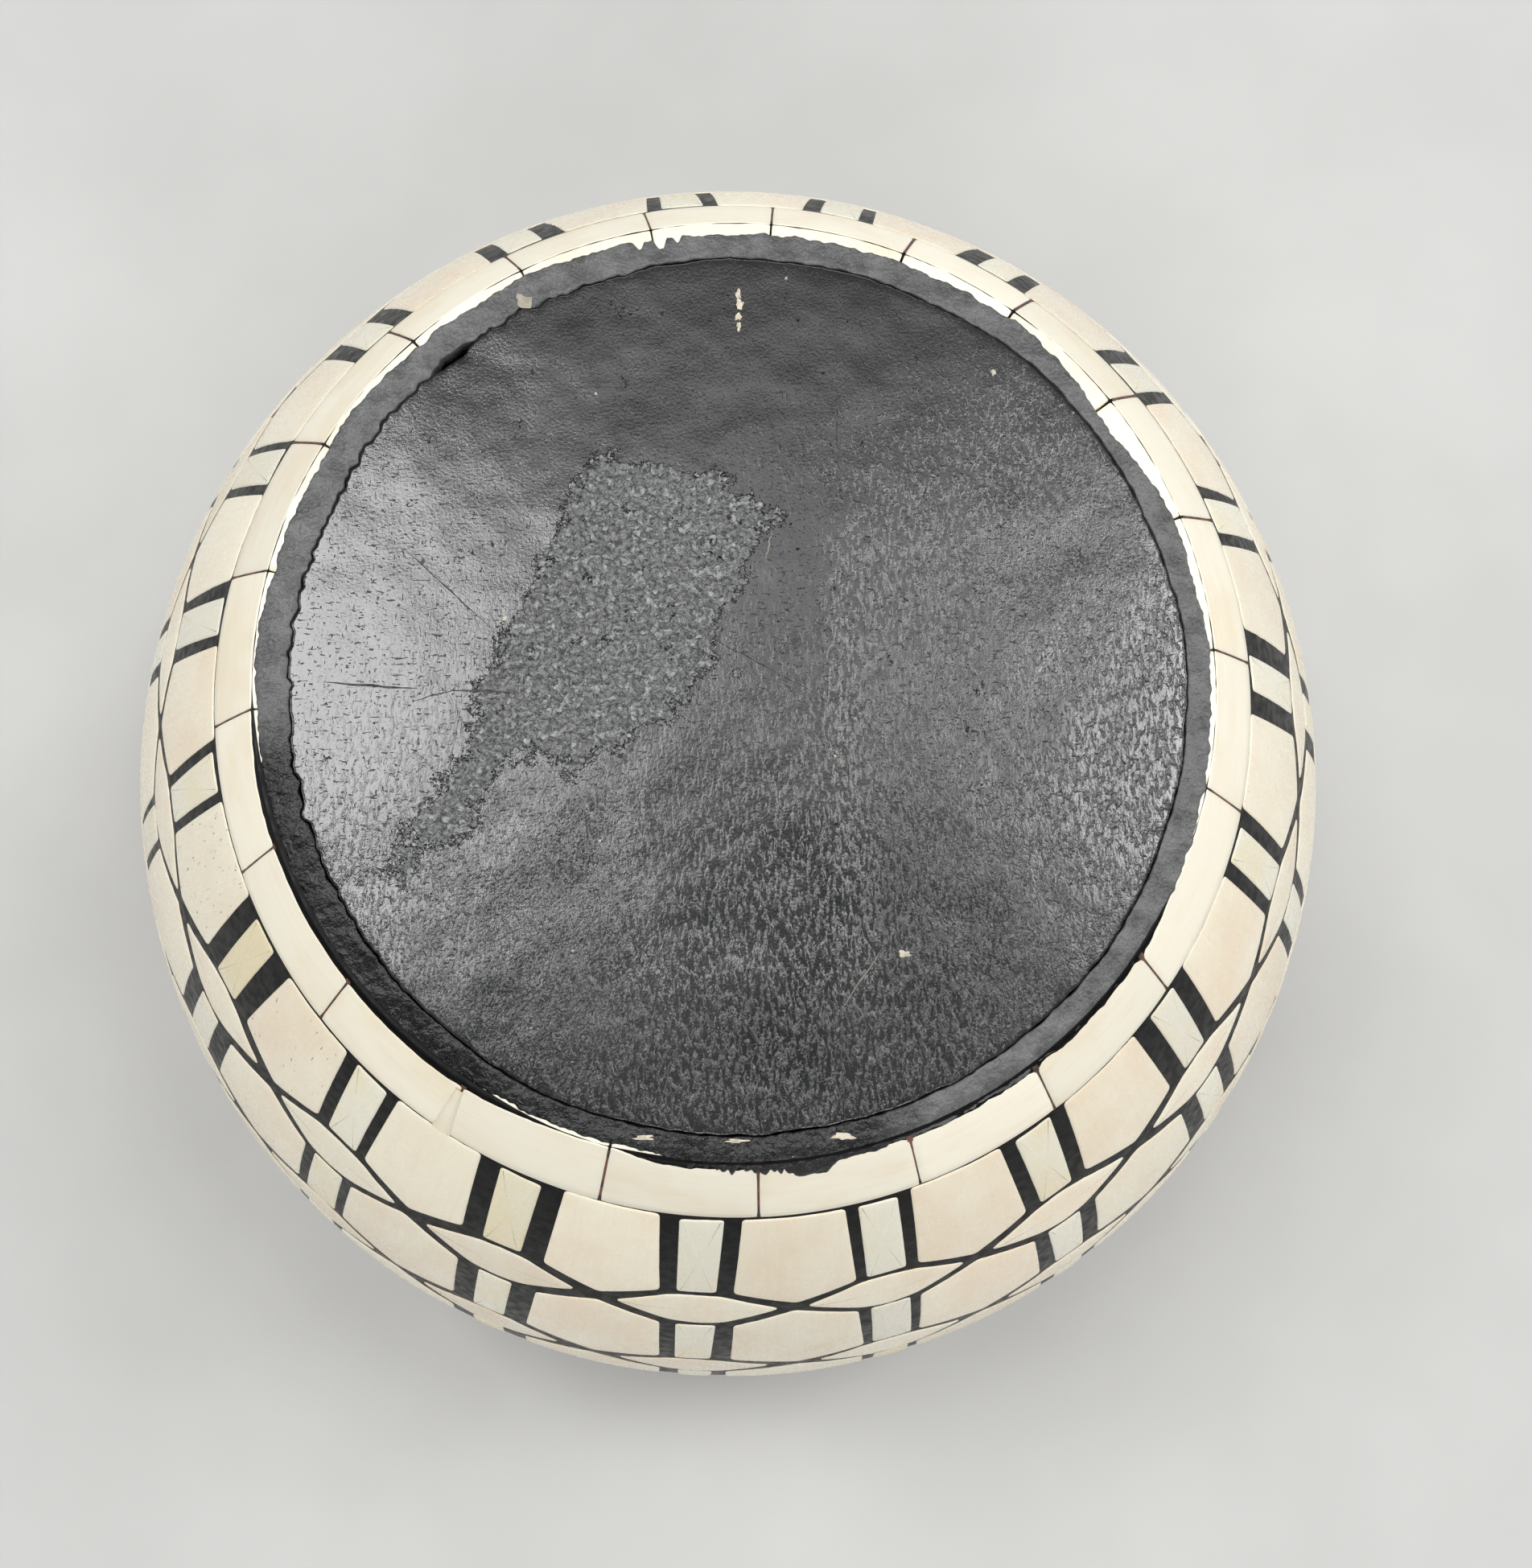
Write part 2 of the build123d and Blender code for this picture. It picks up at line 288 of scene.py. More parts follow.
def bone_material(name, pale, warm, roughness):
    """Polished bone: clouded cream, fine fibres down the piece and short brown pores."""
    shader = Shader(name)
    warmth, shade, pores, seed = shader.marks()
    grain = shader.node("ShaderNodeUVMap", uv_map="grain").outputs["UV"]
    spread = shader.node("ShaderNodeCombineXYZ")
    shader.link(seed, spread.inputs["Z"])
    shifted = shader.node("ShaderNodeVectorMath", operation="ADD")
    shader.link(grain, shifted.inputs[0])
    shader.link(spread.outputs["Vector"], shifted.inputs[1])
    place = shifted.outputs["Vector"]

    clouds = shader.noise(shader.mapped(place, (0.16, 0.1, 1.0)), 1.0, 4.0)
    fibres = shader.noise(shader.mapped(place, (1.7, 0.07, 1.0)), 1.0, 4.0, 0.6)
    specks = shader.noise(shader.mapped(place, (0.8, 0.3, 1.0)), 1.0, 3.0)
    blend = shader.maths("ADD", warmth, shader.span(clouds, 0.3, 0.7, -0.35, 0.35))
    color = shader.mix(shader.span(blend, 0.0, 1.0), pale, warm)
    color = shader.mix(shader.span(fibres, 0.45, 0.8, 0.0, 0.16), color, (0.68, 0.54, 0.36, 1))
    color = shader.mix(shader.span(specks, 0.5, 0.8, 0.0, 0.06), color, (0.66, 0.52, 0.34, 1))
    lit = shader.node("ShaderNodeVectorMath", operation="SCALE")
    shader.link(color, lit.inputs[0])
    shader.link(shade, lit.inputs["Scale"])
    color = lit.outputs["Vector"]

    dashes = shader.noise(shader.mapped(place, (4.2, 0.75, 1.0)), 1.0, 1.0, 0.5, 0.3)
    threshold = shader.maths("SUBTRACT", 0.96, shader.maths("MULTIPLY", pores, 0.26))
    pore = shader.span(shader.maths("SUBTRACT", dashes, threshold), 0.0, 0.04)
    color = shader.mix(shader.maths("MULTIPLY", pore, 0.7), color, (0.16, 0.07, 0.035, 1))

    rough = shader.span(specks, 0.3, 0.7, roughness - 0.05, roughness + 0.08)
    normal = shader.bump(clouds, 0.3, 0.35)
    normal = shader.bump(fibres, 0.02, 0.4, normal)
    normal = shader.bump(shader.maths("SUBTRACT", 1.0, pore), 0.06, 0.7, normal)
    material = shader.finish(color, rough, normal)
    shader.main.inputs["Subsurface Weight"].default_value = 0.12
    shader.main.inputs["Subsurface Radius"].default_value = (1.0, 0.7, 0.45)
    shader.main.inputs["Subsurface Scale"].default_value = 0.8 * MM
    return material


def filler_material():
    """Black lac rubbed flush with the bone: dark, faintly pitted, with pale dust in it."""
    shader = Shader("black_filler")
    place = shader.place()
    dust = shader.noise(place, 2.4, 2.0, 0.7)
    pits = shader.noise(place, 0.9, 5.0)
    color = shader.mix(shader.span(dust, 0.68, 0.78, 0.0, 0.3), (0.003, 0.0028, 0.0028, 1),
                       (0.06, 0.05, 0.04, 1))
    rough = shader.span(pits, 0.3, 0.7, 0.28, 0.5)
    shader.main.inputs["Specular IOR Level"].default_value = 0.12
    return shader.finish(color, rough, shader.bump(pits, 0.06, 0.6))


def joint_material():
    """Brown glue in the narrow joints of the bone bands."""
    shader = Shader("glue_line")
    place = shader.place()
    stain = shader.noise(place, 0.8, 3.0)
    color = shader.mix(shader.span(stain, 0.35, 0.65), (0.16, 0.06, 0.035, 1), (0.03, 0.018, 0.014, 1))
    return shader.finish(color, 0.6, shader.bump(stain, 0.05, 0.5))


def paint_material():
    """Semi-gloss black paint over turned wood, with the crust a pulled-off label left behind."""
    shader = Shader("base_paint")
    place = shader.place()
    residue, _dark, coarse, _seed = shader.marks()
    islands = shader.noise(place, 0.30, 5.0, 0.65)
    crust = shader.noise(place, 2.0, 4.0, 0.75, 0.6)
    ragged = shader.maths("ADD", residue, shader.span(islands, 0.3, 0.7, -0.42, 0.42))
    ragged = shader.maths("ADD", ragged, shader.span(crust, 0.3, 0.7, -0.2, 0.2))
    patch = shader.span(ragged, 0.47, 0.60)
    lumps = shader.span(shader.noise(place, 0.9, 3.0, 0.6), 0.42, 0.60)

    broad = shader.noise(place, 0.06, 3.0)
    fine = shader.noise(place, 3.4, 3.0, 0.6)
    across = shader.noise(shader.mapped(place, (1.1, 3.6, 1.0)), 1.0, 2.0, 0.6)
    upright = shader.noise(shader.mapped(place, (3.6, 1.1, 1.0), (7, 3, 0)), 1.0, 2.0, 0.6)
    ticks = shader.maths("MAXIMUM", shader.span(across, 0.63, 0.70), shader.span(upright, 0.65, 0.72))
    slanted = shader.mapped(place, (2.5, 0.85, 1.0), turn=math.radians(27))
    strokes = shader.noise(slanted, 1.0, 4.0, 0.6, 0.3)
    relief = shader.span(strokes, 0.48, 0.66)
    grit = shader.noise(place, 2.8, 2.0, 0.7)

    color = shader.mix(shader.span(broad, 0.3, 0.7), (0.012, 0.0125, 0.0125, 1), (0.021, 0.0215, 0.021, 1))
    mottled = shader.mix(shader.span(crust, 0.36, 0.64), (0.05, 0.051, 0.052, 1), (0.42, 0.425, 0.43, 1))
    thick = shader.maths("MULTIPLY", patch, shader.maths("ADD", 0.35, shader.maths("MULTIPLY", lumps, 0.6)))
    color = shader.mix(thick, color, mottled)
    color = shader.mix(shader.maths("MULTIPLY", ticks, 0.6), color, (0.006, 0.006, 0.006, 1))
    flecks = shader.span(grit, 0.72, 0.77, 0.0, 0.4)
    color = shader.mix(flecks, color, (0.16, 0.16, 0.15, 1))

    smooth = shader.span(broad, 0.3, 0.7, 0.13, 0.18)
    rough = shader.maths("ADD", smooth, shader.maths("MULTIPLY", thick, 0.2))
    rough = shader.maths("ADD", rough, shader.maths("MULTIPLY", ticks, 0.25))
    normal = shader.bump(broad, 0.8, 0.5)
    normal = shader.bump(shader.maths("MULTIPLY", relief, coarse), 0.048, 1.0, normal)
    normal = shader.bump(shader.maths("SUBTRACT", 1.0, ticks), 0.05, 0.9, normal)
    normal = shader.bump(fine, 0.022, 0.9, normal)
    normal = shader.bump(shader.maths("MULTIPLY", crust, thick), 0.45, 1.0, normal)
    normal = shader.bump(thick, 0.10, 0.8, normal)
    shader.main.inputs["Specular IOR Level"].default_value = 0.7
    return shader.finish(color, rough, normal)


def margin_material():
    """The same paint on the rim of the base: duller and greyer, with painted shade, jet black, over its front
    and front left, where its rounded edge turns from the lamps.
    """
    shader = Shader("margin_paint")
    place = shader.place()
    _residue, dark, _coarse, _seed = shader.marks()
    broad = shader.noise(place, 0.35, 4.0)
    fine = shader.noise(place, 2.6, 4.0, 0.65)
    spread = shader.mix(shader.span(broad, 0.3, 0.7), (0.055, 0.056, 0.056, 1), (0.12, 0.121, 0.12, 1))
    color = shader.mix(shader.span(fine, 0.66, 0.8, 0.0, 0.35), spread, (0.16, 0.16, 0.15, 1))
    # painted shade: the front and front left of the rim are made jet black
    color = shader.mix(dark, color, (0.003, 0.003, 0.003, 1))
    rough = shader.span(fine, 0.3, 0.7, 0.16, 0.34)
    shader.main.inputs["Specular IOR Level"].default_value = 0.42
    return shader.finish(color, rough, shader.bump(fine, 0.10, 0.9, shader.bump(broad, 0.9, 0.8)))


def wood_material():
    """Turned wood stained black, its rings showing in the hollow."""
    shader = Shader("black_wood")
    place = shader.place()
    rings = shader.noise(shader.mapped(place, (0.05, 0.05, 1.4)), 1.0, 4.0)
    pores = shader.noise(shader.mapped(place, (0.8, 0.8, 0.2)), 1.0, 4.0)
    color = shader.mix(shader.span(rings, 0.3, 0.7), (0.016, 0.014, 0.013, 1), (0.035, 0.029, 0.025, 1))
    rough = shader.span(pores, 0.3, 0.7, 0.38, 0.6)
    return shader.finish(color, rough, shader.bump(rings, 0.15, 0.5))


def scratch_material():
    """Bare, dry lines and chips in the paint."""
    shader = Shader("chipped_paint")
    place = shader.place()
    grit = shader.noise(place, 1.6, 4.0)
    _warmth, _shade, pale, _seed = shader.marks()
    color = shader.mix(pale, (0.006, 0.006, 0.006, 1), (0.62, 0.56, 0.44, 1))
    color = shader.mix(shader.span(grit, 0.35, 0.7, 0.0, 0.5), color, (0.16, 0.14, 0.11, 1))
    return shader.finish(color, 0.7, shader.bump(grit, 0.08, 0.7))


BONE_BAND = bone_material("bone_band", (0.87, 0.82, 0.68, 1), (0.81, 0.71, 0.52, 1), 0.34)
BONE_TILE = bone_material("bone_tile", (0.85, 0.79, 0.63, 1), (0.82, 0.70, 0.53, 1), 0.26)
BONE_PALE = bone_material("bone_pale", (0.80, 0.77, 0.64, 1), (0.80, 0.71, 0.47, 1), 0.26)
BONE_DIAMOND = bone_material("bone_diamond", (0.84, 0.78, 0.63, 1), (0.80, 0.68, 0.51, 1), 0.26)
FILLER = filler_material()
GLUE = joint_material()
PAINT = paint_material()
MARGIN = margin_material()
WOOD = wood_material()
CHIPPED = scratch_material()


# ---- bone tiles ---------------------------------------------------------------------------------
TILE_EDGE = [(0.0, BONE_ROOT), (0.0, -0.13), (0.05, -0.05), (0.16, 0.01), (0.38, 0.035)]  # inset, lift
TILE_FILL = [0.82, 0.62, 0.42, 0.22]    # rings of the face, as shares of the way out from its middle
TILE_DOME = 0.03


def rounded(corners, radius, step):
    """The outline with its corners rounded and its sides divided, as (sideways, run) points."""
    count = len(corners)
    outline = []
    for i in range(count):
        before, corner, after = (Vector(corners[(i + k) % count]) for k in (-1, 0, 1))
        arrive = corner - before
        leave = after - corner
        cut = min(radius, 0.35 * arrive.length, 0.35 * leave.length)
        start = corner - arrive.normalized() * cut
        end = corner + leave.normalized() * cut
        for k in range(4):
            t = k / 3
            outline.append(start * (1 - t) ** 2 + corner * 2 * t * (1 - t) + end * t * t)
        following = corners[(i + 2) % count]
        next_cut = min(radius, 0.35 * leave.length, 0.35 * (Vector(following) - after).length)
        target = after - leave.normalized() * next_cut
        pieces = max(1, round((target - end).length / step))
        for k in range(1, pieces):
            outline.append(end.lerp(target, k / pieces))
    return outline


def inset(outline, distance):
    """The outline moved inwards; its points run clockwise as seen with run downwards."""
    count = len(outline)
    moved = []
    for i in range(count):
        along = outline[(i + 1) % count] - outline[i - 1]
        inward = Vector((-along.y, along.x)).normalized()
        moved.append(outline[i] + inward * distance)
    return moved


def add_tile(builder, centre, corners, marks, radius=0.55):
    """One tile with softened edges and a barely domed face, let into the filler."""
    outline = rounded(corners, radius, 1.0)
    middle = sum(outline, Vector((0, 0))) / len(outline)
    turn = math.radians(centre)

    def put(spot, lift):
        angle = turn + spot.x / wall_point(spot.y)[0]
        radius_here, z = wall_point(spot.y, lift)
        return builder.add(turned(radius_here, z, angle), (spot.x, spot.y), marks)

    rings = []
    for distance, lift in TILE_EDGE:
        rings.append([put(spot, lift) for spot in inset(outline, distance)])
    last = inset(outline, TILE_EDGE[-1][0])
    for share in TILE_FILL:
        lift = TILE_EDGE[-1][1] + TILE_DOME * (1 - share * share)
        rings.append([put(middle.lerp(spot, share), lift) for spot in last])
    for first, second in zip(rings[:-1], rings[1:]):
        builder.strip(first, second, closed=True)
    builder.fan(rings[-1], put(middle, TILE_EDGE[-1][1] + TILE_DOME))


def half_wide(run, width=None):
    """Half the width of a wide tile; a width in degrees at the joint circle adjusts it."""
    usual = PITCH * wall_point(run)[0] / 2 - NARROW_WIDTH / 2 - BAR
    if width is None:
        return usual
    return usual + (math.radians(width) * JOINT_RADIUS / 2 - half_wide(0.0)) * 0.6


def wide_corners(top, bottom, width=None):
    """Corners of a wide tile. Each end is ("flat", run) or ("point", run of the tip)."""
    corners = []
    kind, run = top
    if kind == "flat":
        corners += [(-half_wide(run, width), run), (half_wide(run, width), run)]
    else:
        shoulder = run + SHOULDER_CUT
        corners += [(-half_wide(shoulder, width), shoulder), (0, run), (half_wide(shoulder, width), shoulder)]
    kind, run = bottom
    if kind == "flat":
        corners += [(half_wide(run, width), run), (-half_wide(run, width), run)]
    else:
        shoulder = run - SHOULDER_CUT
        corners += [(half_wide(shoulder, width), shoulder), (0, run), (-half_wide(shoulder, width), shoulder)]
    return corners


def narrow_corners(top, bottom):
    half = NARROW_WIDTH / 2
    return [(-half, top), (half, top), (half, bottom), (-half, bottom)]


def diamond_corners(node):
    crown = 0.33 * DIAMOND_HALF_WIDTH
    shoulder = 0.88 * DIAMOND_HALF_HEIGHT
    upper = [(-DIAMOND_HALF_WIDTH, node), (-crown, node - shoulder),
             (0, node - DIAMOND_HALF_HEIGHT), (crown, node - shoulder)]
    lower = [(DIAMOND_HALF_WIDTH, node), (crown, node + shoulder),
             (0, node + DIAMOND_HALF_HEIGHT), (-crown, node + shoulder)]
    return upper + lower


def hand_cut(corners, chance, amount):
    """Move each corner a little, as a saw in the hand does."""
    return [(x + chance.uniform(-amount, amount), run + chance.uniform(-amount, amount))
            for x, run in corners]


def random_marks(chance, warm, pores):
    """Warmth, shade, pores and a seed for one piece of bone."""
    return (chance.uniform(*warm), chance.uniform(0.93, 1.03), pores, chance.uniform(0, 60))


def between(first, second):
    return first + ((second - first) % 360) / 2


NARROW_CENTRES = [between(WIDE_CENTRES[i], WIDE_CENTRES[(i + 1) % COLUMNS]) for i in range(COLUMNS)]
BAND_GAP = 0.12
TOP_GAPS = (0.02, 0.04, 0.08, 0.35)     # drawn from for each wide tile of row 1, in place of BAND_GAP
NARROW_GAP = 0.5
DIAMOND_CLEAR = DIAMOND_HALF_HEIGHT + 0.55
WIDE_ROWS = [
    (("flat", BAND_GAP), ("point", NODES[0] - LINE)),
    (("point", NODES[0] + LINE), ("point", NODES[1] - LINE)),
    (("point", NODES[1] + LINE), ("point", NODES[2] - LINE)),
    (("point", NODES[2] + LINE), ("point", NODES[3] - LINE)),
    (("point", NODES[3] + LINE), ("flat", RIM_BAND_START - BAND_GAP)),
]
NARROW_ROWS = [
    (NARROW_GAP, NODES[0] - DIAMOND_CLEAR),
    (NODES[0] + DIAMOND_CLEAR, NODES[1] - DIAMOND_CLEAR),
    (NODES[1] + DIAMOND_CLEAR, NODES[2] - DIAMOND_CLEAR),
    (NODES[2] + DIAMOND_CLEAR, NODES[3] - DIAMOND_CLEAR),
    (NODES[3] + DIAMOND_CLEAR, RIM_BAND_START - NARROW_GAP),
]
POROUS_TILES = {4: 0.6, 9: 0.4, 10: 1.0, 11: 0.9, 13: 0.6, 18: 0.7}     # column of row 1: how pitted
YELLOWED = (10, 12)             # narrow tiles of row 1


def wide_tiles():
    for row, (top, bottom) in enumerate(WIDE_ROWS, start=1):
        chance = random.Random(100 + row)
        group = Builder()
        for column, centre in enumerate(WIDE_CENTRES):
            width = WIDE_WIDTHS[column] if row == 1 else None
            if row == 1:
                top = ("flat", chance.choice(TOP_GAPS))
            corners = hand_cut(wide_corners(top, bottom, width), chance, 0.18)
            pores = POROUS_TILES.get(column, 0.2) if row == 1 else chance.choice((0, 0.1, 0.5))
            marks = random_marks(chance, (0.1, 0.6), pores)
            if row == 1:
                tile = Builder()
                add_tile(tile, centre, corners, marks)
                number = f"{column + 1:02d}"
                tile.build(f"bone_row_1_wide_{number}", BONE_TILE, [f"row_1_wide_{number}"])
            else:
                add_tile(group, centre, corners, marks)
        if row > 1:
            group.build(f"bone_row_{row}_wide", BONE_TILE, [f"row_{row}_wide_tiles"])


def narrow_tiles():
    for row, (top, bottom) in enumerate(NARROW_ROWS, start=1):
        chance = random.Random(200 + row)
        group = Builder()
        for index, centre in enumerate(NARROW_CENTRES):
            corners = hand_cut(narrow_corners(top, bottom), chance, 0.24)
            yellowed = index in YELLOWED if row == 1 else chance.random() < 0.15
            warm = (0.75, 1.0) if yellowed else (0.0, 0.35)
            add_tile(group, centre, corners, random_marks(chance, warm, 0.1), 0.45)
        group.build(f"bone_row_{row}_narrow", BONE_PALE, [f"row_{row}_narrow_tiles"])


def diamond_tiles():
    for row, node in enumerate(NODES, start=1):
        chance = random.Random(300 + row)
        group = Builder()
        for centre in NARROW_CENTRES:
            corners = hand_cut(diamond_corners(node), chance, 0.14)
            add_tile(group, centre, corners, random_marks(chance, (0.1, 0.6), 0.1), 0.9)
        group.build(f"bone_diamonds_{row}", BONE_DIAMOND, [f"diamond_row_{row}"])


# ---- bone bands ---------------------------------------------------------------------------------
def columns_between(start, end, step=0.7):
    """Angles across one band segment with how far each column sinks at the two joints."""
    edge = 0.10 / JOINT_RADIUS
    inner = max(2, round((end - start) * JOINT_RADIUS / step))
    columns = [(start, BONE_ROOT), (start, -0.10), (start + edge, -0.03)]
    columns += [(start + edge + (end - start - 2 * edge) * k / inner, 0.0) for k in range(1, inner)]
    columns += [(end - edge, -0.03), (end, -0.10), (end, BONE_ROOT)]
    return columns


def lower_edge(angle):
    """Arc length of the band's lower edge, which no two segments share exactly."""
    degrees = math.degrees(angle) % 360
    segment = sum(joint <= degrees for joint in BAND_JOINTS)
    step = noise.noise(Vector((segment * 5.3, 1.7, 0.4)))
    return -0.05 - 0.35 * max(0.0, step) + 0.04 * ripple(angle, 60, 8)


def near_wear(angle):
    """How far the base's edge is sawn away, on the side where bare bone shows."""
    return sector(angle, 264, 324, 8)


def low_wear(angle):
    """How far the base's edge is rounded under its paint."""
    return sector(angle, 196, 236, 14)


def ridge_run(angle):
    """Where the band's outer face ends at the base: lower where its edge is worn away."""
    worn = 1.7 * near_wear(angle) + 0.8 * low_wear(angle)
    rough = 0.12 * ripple(angle, 70, 1) + 0.08 * ripple(angle, 300, 2)
    return BASE_RUN + 0.15 + worn + rough


def edge_drop(radius, angle):
    """How far the base has dropped below its plane at a radius near its edge."""
    ridge_radius, ridge_z = wall_point(ridge_run(angle))
    start = 44.0 + 0.3 * near_wear(angle) - 2.0 * low_wear(angle)
    share = max(0.0, (radius - start) / (ridge_radius - start))
    return (BASE_Z - ridge_z) * share ** 1.4


def base_section(angle, sink):
    """Outline of a base band segment at an angle, from its lower edge up and over the ridge."""
    ridge = ridge_run(angle)
    lower = lower_edge(angle)
    section = [wall_point(lower, BONE_ROOT), wall_point(lower, -0.12 + sink)]
    section.append(wall_point(lower - 0.15, -0.02 + sink))
    steps = 7
    for k in range(1, steps):
        run = lower - 0.15 + (ridge + 0.55 - lower) * k / steps
        section.append(wall_point(run, 0.03 + sink))
    r, z = wall_point(ridge)
    section.append((r + 0.10, z - 0.16 + sink))
    section.append((r, z - 0.03 + sink))
    for share in (0.1, 0.25, 0.45, 0.7, 1.0):
        radius = r + (BONE_INNER_RADIUS - r) * share
        section.append((radius, BASE_Z - 0.05 - edge_drop(radius, angle) + sink))
    return section


def rim_section(_angle, sink):
    """Outline of a rim band segment, from its upper edge down to its lower one."""
    end = RIM_RUN - 0.1
    start = RIM_BAND_START + 0.05
    section = [wall_point(start, BONE_ROOT), wall_point(start, -0.12 + sink)]
    section.append(wall_point(start + 0.17, -0.02 + sink))
    steps = 6
    for k in range(1, steps):
        section.append(wall_point(start + 0.17 + (end - start - 0.4) * k / steps, 0.03 + sink))
    section += [wall_point(end, -0.02 + sink), wall_point(end, -0.15 + sink), wall_point(end, -1.2)]
    return section


def add_segment(builder, first, last, section, marks):
    """Sweep a band's section between two joints."""
    rows = []
    for angle, sink in columns_between(math.radians(first), math.radians(last)):
        row = []
        run = 0.0
        previous = None
        for radius, z in section(angle, sink):
            if previous:
                run += math.dist(previous, (radius, z))
            previous = (radius, z)
            row.append(builder.add(turned(radius, z, angle), (run, angle * JOINT_RADIUS), marks))
        rows.append(row)
    for one, two in zip(rows[:-1], rows[1:]):
        builder.strip(one, two)


def bands():
    chance = random.Random(11)
    rim = Builder()
    for index, joint in enumerate(BAND_JOINTS):
        following = joint + (BAND_JOINTS[(index + 1) % len(BAND_JOINTS)] - joint) % 360
        gap = chance.uniform(0.08, 0.2)
        marks = random_marks(chance, (0.0, 0.4), chance.choice((0.0, 0.15, 0.5)))
        segment = Builder()
        add_segment(segment, joint + gap, following - gap, base_section, marks)
        number = f"{index + 1:02d}"
        segment.build(f"bone_base_band_{number}", BONE_BAND, [f"base_band_{number}"])
        add_segment(rim, joint + gap, following - gap, rim_section, marks)
    rim.build("bone_rim_band", BONE_BAND, ["rim_band"])


def bone_sliver():
    """A wedge of bone that fills one gaping joint of the base band."""
    sliver = Builder()
    rows = []
    for side in (-1, -0.9, 0, 0.9, 1):
        row = []
        for k in range(10):
            share = k / 9
            angle = math.radians(SLIVER_JOINT - 0.3 + side * (0.45 + 0.75 * share))
            lift = 0.065 if abs(side) < 1 else -0.3
            run = ridge_run(angle) + 0.35 + (-ridge_run(angle) - 0.45) * share
            row.append(sliver.add(turned(*wall_point(run, lift), angle), (run, side), (0.55, 0.98, 0.2, 4.0)))
        rows.append(row)
    for one, two in zip(rows[:-1], rows[1:]):
        sliver.strip(one, two)
    sliver.build("bone_sliver", BONE_BAND, [])


def glue_lines():
    """Thin brown strips at the bottom of the joints of the base band."""
    glue = Builder()
    for joint in BAND_JOINTS:
        rows = []
        for side in (-0.35, 0.35):
            angle = math.radians(joint + side)
            runs = [BASE_RUN + 0.5 + (-BASE_RUN - 0.6) * k / 8 for k in range(9)]
            rows.append([glue.add(turned(*wall_point(run, -GLUE_DROP), angle)) for run in runs])
        glue.strip(*rows)
    glue.build("glue_lines", GLUE, [])


# ---- filler -------------------------------------------------------------------------------------
def filler_skin():
    """The black skin between the bone, a touch below its faces and never quite smooth."""
    skin = Builder()
    turns = 480
    runs = [BASE_RUN + (RIM_RUN - BASE_RUN) * k / 130 for k in range(131)]
    section = [(BASE_RUN, -SKIN)] + [(run, -FILLER_DROP) for run in runs] + [(RIM_RUN, -SKIN)]
    rings = []
    for run, lift in section:
        ring = []
        for k in range(turns):
            angle = 2 * math.pi * k / turns
            radius, z = wall_point(run, lift)
            spot = Vector((radius * math.cos(angle), radius * math.sin(angle), z))
            bumpy = 0.035 * noise.noise(spot * 0.9) if lift > -SKIN else 0.0
            radius, z = wall_point(run, lift + bumpy)
            ring.append(skin.add(turned(radius, min(z, BASE_Z - 0.1), angle)))
        rings.append(ring)
    for first, second in zip(rings[:-1], rings[1:]):
        skin.strip(first, second, closed=True)
    skin.strip(rings[-1], rings[0], closed=True)
    skin.build("filler_skin", FILLER, ["filler"])


# ---- painted base -------------------------------------------------------------------------------
RESIDUE = [         # outline of the crust
    (-13.9, 20.8), (-2.8, 19.0), (3.3, 15.0), (-1.3, 5.6), (-2.7, 0.2), (-7.1, -5.2), (-14.5, -9.7),
    (-20.4, -7.5), (-23.2, -12.7), (-30.2, -20.1), (-31.7, -18.7), (-26.2, -9.0), (-24.2, -3.0),
    (-20.7, 4.7), (-16.4, 14.9),
]
LABEL = [(-12.0, 20.5), (9.0, 17.0), (12.0, -29.0), (-9.5, -29.0)]      # where the brush marks are faint


def signed_distance(x, y, corners):
    """Distance to an outline, positive inside it."""
    inside = False
    nearest = 1e9
    spot = Vector((x, y))
    for i, corner in enumerate(corners):
        a = Vector(corners[i - 1])
        b = Vector(corner)
        along = b - a
        t = max(0.0, min(1.0, (spot - a).dot(along) / along.length_squared))
        nearest = min(nearest, (a + along * t - spot).length)
        if (a.y > y) != (b.y > y) and x < (b.x - a.x) * (y - a.y) / (b.y - a.y) + a.x:
            inside = not inside
    return nearest if inside else -nearest


def crack_radius(angle):
    """Radius of the joint round the disc at an angle: jagged, most of all on the left."""
    ragged = 0.25 + 0.75 * sector(angle, 120, 205, 25)
    radius = CRACK_RADIUS + CRACK_CENTRE[0] * math.cos(angle) + CRACK_CENTRE[1] * math.sin(angle)
    radius += 0.28 * ripple(angle, 26, 21) + 0.55 * ragged * ripple(angle, 130, 22)
    return radius + 0.30 * ragged * ripple(angle, 330, 23)


def crack_width(angle):
    """Half the width of the open joint."""
    gape = 0.38 * sector(angle, 130, 133.5, 2)
    return 0.035 + gape + 0.13 * abs(ripple(angle, 190, 24))


def coarseness(x, y):
    """How deep the brush marks are: least at the back left and where the label sat."""
    outward = 0.5 + 0.5 * max(-1.0, min(1.0, (0.55 * x - 0.83 * y) / 24))
    label = max(0.0, min(1.0, 0.5 - signed_distance(x, y, LABEL) / 5))
    return (0.04 + 0.96 * outward ** 1.3) * (0.25 + 0.75 * label)


def base_height(x, y):
    """Height of the painted disc over its plane."""
    spot = Vector((x, y, 3.0))
    return 0.05 * noise.noise(spot * 0.06) + 0.03 * noise.noise(spot * 0.22)


